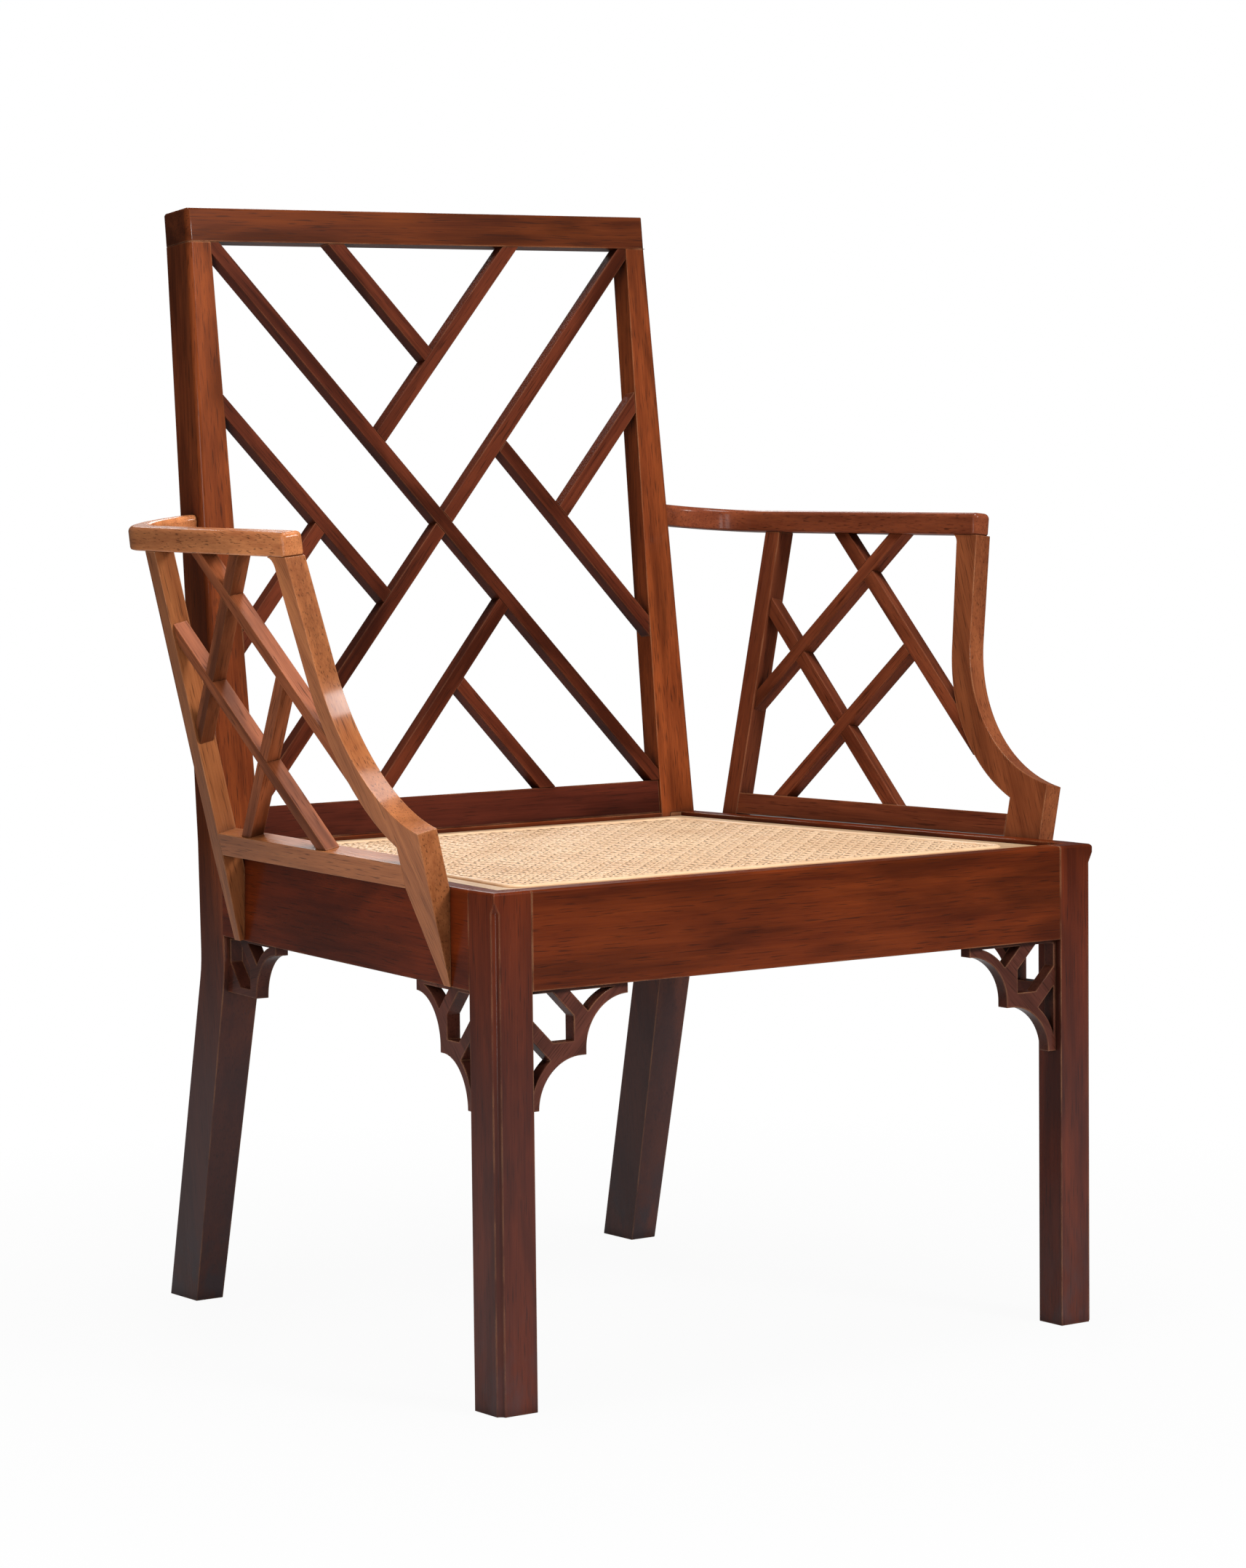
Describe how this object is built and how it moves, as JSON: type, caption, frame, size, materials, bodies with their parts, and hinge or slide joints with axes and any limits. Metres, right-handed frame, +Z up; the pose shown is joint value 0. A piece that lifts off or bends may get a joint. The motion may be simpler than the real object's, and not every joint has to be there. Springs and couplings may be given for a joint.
{
  "type": "lattice-back armchair",
  "caption": "Mahogany armchair with a lattice back and arms, outswept arm posts, square legs, pierced brackets and a caned drop-in seat.",
  "frame": {"origin": "on the floor, under the middle of the chair's length and width", "axes": "+Z up, -Y to the front, +X to the sitter's left"},
  "size_m": [0.7426, 0.612, 0.9697],
  "materials": {
    "mahogany": "french polish",
    "beech": "bare",
    "cane": "woven, matt",
    "iron": "dull"
  },
  "bodies": {
    "frame": {"arm_bar_front_left": "mahogany", "arm_bar_front_right": "mahogany", "arm_bar_lower_left": "mahogany", "arm_bar_lower_right": "mahogany", "arm_bar_rear_left": "mahogany", "arm_bar_rear_right": "mahogany", "arm_bar_upper_left": "mahogany", "arm_bar_upper_right": "mahogany", "arm_bottom_rail_left": "mahogany", "arm_bottom_rail_right": "mahogany", "arm_front_post_left": "mahogany", "arm_front_post_right": "mahogany", "arm_rear_post_left": "mahogany", "arm_rear_post_right": "mahogany", "arm_screws": "iron", "armrest_left": "mahogany", "armrest_right": "mahogany", "back_bottom_long": "mahogany", "back_bottom_short": "mahogany", "back_diagonal_climb": "mahogany", "back_diagonal_fall": "mahogany", "back_left_long": "mahogany", "back_left_short": "mahogany", "back_right_long": "mahogany", "back_right_short": "mahogany", "back_top_long": "mahogany", "back_top_short": "mahogany", "bracket_front_rail_left": "mahogany", "bracket_front_rail_right": "mahogany", "bracket_rear_left": "mahogany", "bracket_rear_right": "mahogany", "bracket_side_rail_left": "mahogany", "bracket_side_rail_right": "mahogany", "corner_block_front_left": "beech", "corner_block_front_right": "beech", "corner_block_rear_left": "beech", "corner_block_rear_right": "beech", "crest_rail": "mahogany", "front_leg_left": "mahogany", "front_leg_right": "mahogany", "front_seat_rail": "mahogany", "lower_back_rail": "mahogany", "rear_seat_rail": "mahogany", "rear_upright_left": "mahogany", "rear_upright_right": "mahogany", "side_seat_rail_left": "mahogany", "side_seat_rail_right": "mahogany"},
    "drop_in_seat": {"cane_binding": "cane", "cane_panel": "cane", "seat_frame_back": "beech", "seat_frame_front": "beech", "seat_frame_side_left": "beech", "seat_frame_side_right": "beech"}
  },
  "joints": [
    {"name": "seat_lift", "type": "slide", "parent": "frame", "child": "drop_in_seat", "axis": [0, 0, 1], "range_m": [0, 0.15]}
  ]
}
